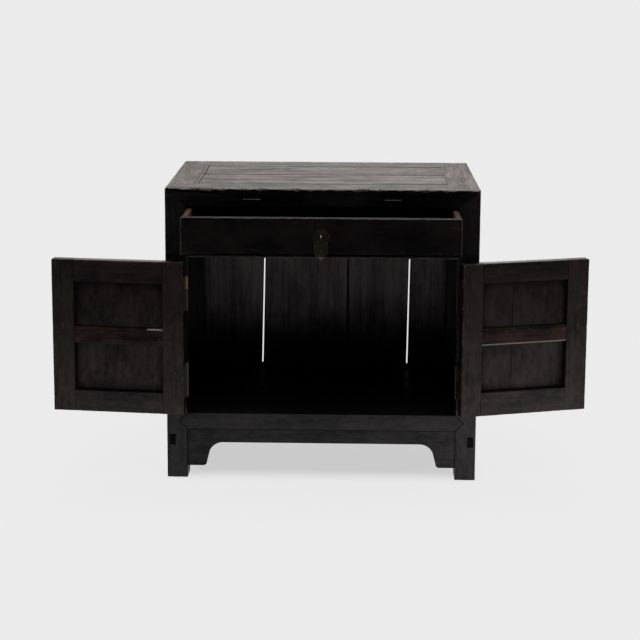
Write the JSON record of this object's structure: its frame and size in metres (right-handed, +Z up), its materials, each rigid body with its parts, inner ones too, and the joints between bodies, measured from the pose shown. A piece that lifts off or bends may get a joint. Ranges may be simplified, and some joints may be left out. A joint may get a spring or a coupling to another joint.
{
  "type": "offering chest",
  "caption": "Low frame-and-panel wooden chest on post feet, a drawer over a cupboard with hinged doors, mitred top frame, shaped apron and hanging metal pulls.",
  "frame": {"origin": "on the floor at the centre of the four feet", "axes": "+X to the chest's right as seen from the front, +Y from front to back, +Z up"},
  "size_m": [1.2752, 0.6616, 0.705],
  "materials": {
    "dark_lacquer": "near-black lacquer, satin, rubbed to brown wood on its arrises",
    "worn_top": "dark lacquer worn to a greyish brown, satin, long scratches with the grain",
    "door_lacquer": "thin brown-black lacquer, grain showing through",
    "bare_wood": "bare reddish-brown wood, dry and matte",
    "inside_boards": "dark stained boards, dry and matte",
    "brass": "old brass, tarnished, bright where it is handled",
    "iron": "dull iron"
  },
  "bodies": {
    "carcass": {"front_left_post": "dark_lacquer", "front_right_post": "dark_lacquer", "rear_left_post": "dark_lacquer", "rear_right_post": "dark_lacquer", "top_front_rail": "worn_top", "top_rear_rail": "worn_top", "top_left_rail": "worn_top", "top_right_rail": "worn_top", "top_front_board": "worn_top", "top_rear_board": "worn_top", "top_battens": "bare_wood", "drawer_divider_rail": "dark_lacquer", "left_drawer_runner": "bare_wood", "right_drawer_runner": "bare_wood", "drawer_guides": "bare_wood", "drawer_stops": "bare_wood", "bottom_front_rail": "dark_lacquer", "bottom_rear_rail": "dark_lacquer", "left_side_rail": "dark_lacquer", "right_side_rail": "dark_lacquer", "floor_boards": "inside_boards", "floor_battens": "bare_wood", "front_apron": "dark_lacquer", "left_side_panel": "dark_lacquer", "right_side_panel": "dark_lacquer", "back_boards": "inside_boards", "left_post_hinge_leaves": "brass", "right_post_hinge_leaves": "brass", "hinge_pins": "iron"},
    "left_door": {"left_door_hinge_stile": "door_lacquer", "left_door_free_stile": "door_lacquer", "left_door_top_rail": "door_lacquer", "left_door_bottom_rail": "door_lacquer", "left_door_panel": "door_lacquer", "left_door_batten": "door_lacquer", "left_door_hinge_leaves": "brass", "left_door_pull_plate": "brass", "left_door_pull_cotter": "brass"},
    "right_door": {"right_door_hinge_stile": "door_lacquer", "right_door_free_stile": "door_lacquer", "right_door_top_rail": "door_lacquer", "right_door_bottom_rail": "door_lacquer", "right_door_panel": "door_lacquer", "right_door_batten": "door_lacquer", "right_door_hinge_leaves": "brass", "right_door_pull_plate": "brass", "right_door_pull_cotter": "brass"},
    "drawer": {"drawer_front": "dark_lacquer", "drawer_left_side": "bare_wood", "drawer_right_side": "bare_wood", "drawer_back": "bare_wood", "drawer_bottom": "bare_wood", "drawer_pull_plate": "brass", "drawer_pull_cotter": "brass"},
    "drawer_pull": {"drawer_pull_pendant": "brass"},
    "left_door_pull": {"left_door_pull_pendant": "brass"},
    "right_door_pull": {"right_door_pull_pendant": "brass"}
  },
  "joints": [
    {"name": "left_door_hinge", "type": "hinge", "parent": "carcass", "child": "left_door", "pos_m": [-0.32, -0.2565, 0.35025], "axis": [0, 0, -1], "range_deg": [-186.27, 11.23]},
    {"name": "right_door_hinge", "type": "hinge", "parent": "carcass", "child": "right_door", "pos_m": [0.32, -0.2565, 0.35025], "axis": [0, 0, 1], "range_deg": [-196.54, 0.96]},
    {"name": "drawer_slide", "type": "slide", "parent": "carcass", "child": "drawer", "axis": [0, -1, 0], "range_m": [-0.145, 0.155]},
    {"name": "drawer_pull_swing", "type": "hinge", "parent": "drawer", "child": "drawer_pull", "pos_m": [0, -0.4053, 0.6157], "axis": [-1, 0, 0], "range_deg": [-8, 95]},
    {"name": "left_door_pull_swing", "type": "hinge", "parent": "left_door", "child": "left_door_pull", "pos_m": [-0.61017, -0.22381, 0.37425], "axis": [0.994, -0.1092, 0], "range_deg": [-8, 95]},
    {"name": "right_door_pull_swing", "type": "hinge", "parent": "right_door", "child": "right_door_pull", "pos_m": [0.59969, -0.17262, 0.37425], "axis": [0.9586, 0.2846, 0], "range_deg": [-8, 95]}
  ]
}
